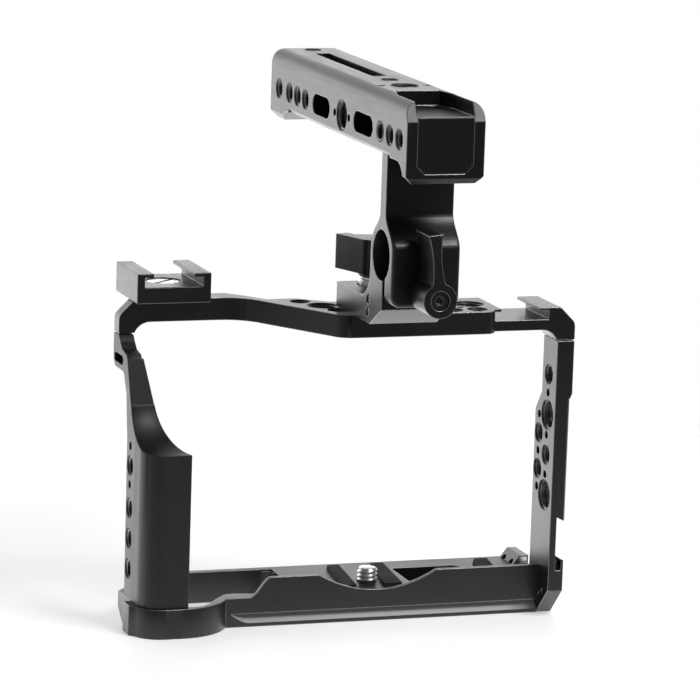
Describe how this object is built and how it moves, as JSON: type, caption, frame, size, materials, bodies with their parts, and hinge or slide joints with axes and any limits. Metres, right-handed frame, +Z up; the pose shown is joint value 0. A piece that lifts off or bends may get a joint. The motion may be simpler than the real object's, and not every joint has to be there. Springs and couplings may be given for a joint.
{
  "type": "camera cage with top handle",
  "caption": "Black machined camera cage with side plates, tapped holes, cold shoes, a grip-side panel, a rod clamp stem and a top handle.",
  "frame": {"origin": "camera screw's axis at the base plate's upper face, the camera seat", "axes": "+Z up along the camera screw, +X towards the side opposite the grip, +Y away from the lens side; the lens looks along -Y"},
  "size_m": [0.1364, 0.1271, 0.1661],
  "materials": {
    "anodised": "satin black anodised",
    "black_lever": "satin black anodised",
    "black_steel": "black oxide",
    "bare_steel": "bright, turned",
    "pad_rubber": "matte",
    "block_metal": "satin"
  },
  "bodies": {
    "cage": {"top_frame": "anodised", "grip_side_plate": "anodised", "right_side_plate": "anodised", "base_plate": "anodised", "seam_dowels": "bare_steel", "seam_set_screws": "bare_steel", "base_side_screws": "black_steel", "base_bottom_screws": "black_steel", "left_cold_shoe": "anodised", "shoe_screw": "bare_steel", "camera_screw_washer": "bare_steel", "pad_left": "pad_rubber", "pad_right": "pad_rubber", "pad_rear": "pad_rubber", "anti_twist_block": "block_metal", "anti_twist_insert": "bare_steel", "anti_twist_screw": "bare_steel", "handle_bar": "anodised", "handle_front_cap": "anodised", "handle_stem": "anodised", "stem_screws": "black_steel", "foot_set_screws": "bare_steel", "foot_locating_pins": "bare_steel"},
    "camera_screw": {"camera_screw": "bare_steel"},
    "clamp_screw": {"clamp_stud": "bare_steel", "lever_screw": "black_steel", "lever_spring": "bare_steel"},
    "clamp_lever": {"rod_clamp_lever": "black_lever"},
    "foot_screw": {"foot_screw": "bare_steel", "paddle_lever": "black_lever", "paddle_screw": "black_steel", "paddle_washer": "black_steel"}
  },
  "joints": [
    {"name": "camera_screw_turn", "type": "hinge", "parent": "cage", "child": "camera_screw", "pos_m": [0, 0, -0.005], "axis": [0, 0, 1], "continuous": true},
    {"name": "clamp_screw_turn", "type": "hinge", "parent": "cage", "child": "clamp_screw", "pos_m": [-0.0043, -0.055, 0.09895], "axis": [0, -1, 0], "continuous": true},
    {"name": "lever_pull", "type": "slide", "parent": "clamp_screw", "child": "clamp_lever", "axis": [0, -1, 0], "range_m": [0, 0.0016], "stiffness_N_per_m": 600, "springref_m": -0.002, "deforming": ["lever_spring"]},
    {"name": "foot_screw_turn", "type": "hinge", "parent": "cage", "child": "foot_screw", "pos_m": [-0.0043, -0.0135, 0.095], "axis": [0, 0, 1], "continuous": true}
  ]
}
